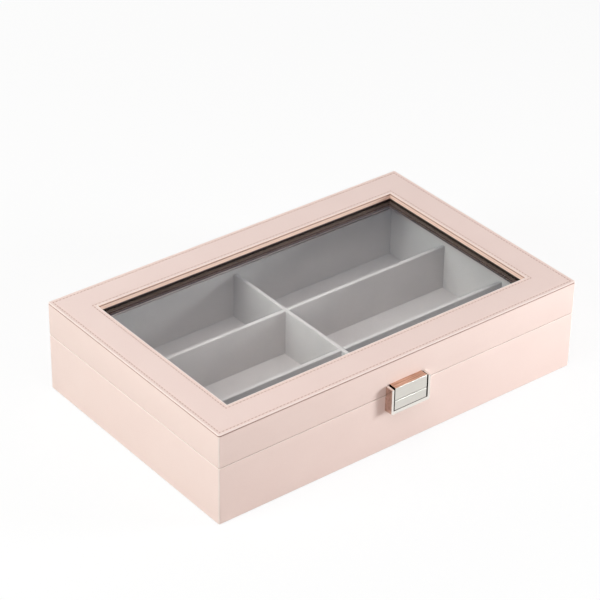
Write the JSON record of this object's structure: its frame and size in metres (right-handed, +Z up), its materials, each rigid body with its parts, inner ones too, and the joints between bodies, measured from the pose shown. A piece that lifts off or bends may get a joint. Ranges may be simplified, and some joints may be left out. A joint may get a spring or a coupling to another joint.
{
  "type": "glazed display box",
  "caption": "Low rectangular leatherette display box with a hinged glass-window lid, a divided suede-lined inside and a push-button catch at the front.",
  "frame": {"origin": "centre of the face that the box stands on", "axes": "+X along the box, left to right seen from the front; +Y from the catch to the hinges; +Z up"},
  "size_m": [0.336, 0.228, 0.077],
  "materials": {
    "leatherette": "matt pale pink leatherette with a fine linen grain",
    "suede": "warm light grey suede",
    "dark_suede": "dark brown suede",
    "felt": "dense dark felt",
    "board": "medium density fibreboard",
    "glass": "clear float glass",
    "catch_plate": "brushed nickel",
    "catch_chrome": "polished nickel plate",
    "hinge_metal": "nickel-plated steel",
    "screw_metal": "zinc-plated steel"
  },
  "bodies": {
    "base": {"back_divider": "suede", "base_back_board": "board", "base_back_lining": "suede", "base_floor_board": "board", "base_floor_lining": "suede", "base_front_board": "board", "base_front_lining": "suede", "base_hinge_screws": "screw_metal", "base_leatherette": "leatherette", "base_left_board": "board", "base_left_lining": "suede", "base_right_board": "board", "base_right_lining": "suede", "catch_housing": "catch_chrome", "catch_spring": "screw_metal", "centre_divider": "suede", "felt_foot": "felt", "front_divider": "suede", "left_hinge_base_leaf": "hinge_metal", "left_hinge_pin": "hinge_metal", "right_hinge_base_leaf": "hinge_metal", "right_hinge_pin": "hinge_metal"},
    "lid": {"catch_block": "catch_plate", "glass_retainer_back": "dark_suede", "glass_retainer_front": "dark_suede", "glass_retainer_left": "dark_suede", "glass_retainer_right": "dark_suede", "left_hinge_lid_leaf": "hinge_metal", "lid_back_board": "board", "lid_back_lining": "suede", "lid_front_board": "board", "lid_front_lining": "suede", "lid_hinge_screws": "screw_metal", "lid_leatherette": "leatherette", "lid_left_board": "board", "lid_left_lining": "suede", "lid_right_board": "board", "lid_right_lining": "suede", "right_hinge_lid_leaf": "hinge_metal", "top_sheet": "leatherette", "window_frame_back": "board", "window_frame_front": "board", "window_frame_left": "board", "window_frame_right": "board", "window_glass": "glass"},
    "catch_button": {"catch_button": "catch_plate"}
  },
  "joints": [
    {"name": "lid_hinge", "type": "hinge", "parent": "base", "child": "lid", "pos_m": [0, 0.1093, 0.04865], "axis": [-1, 0, 0], "range_deg": [0, 95]},
    {"name": "button_slide", "type": "slide", "parent": "base", "child": "catch_button", "axis": [0, 1, 0], "range_m": [0, 0.001], "stiffness_N_per_m": 2500, "springref_m": -0.0005, "deforming": ["catch_spring"]}
  ]
}
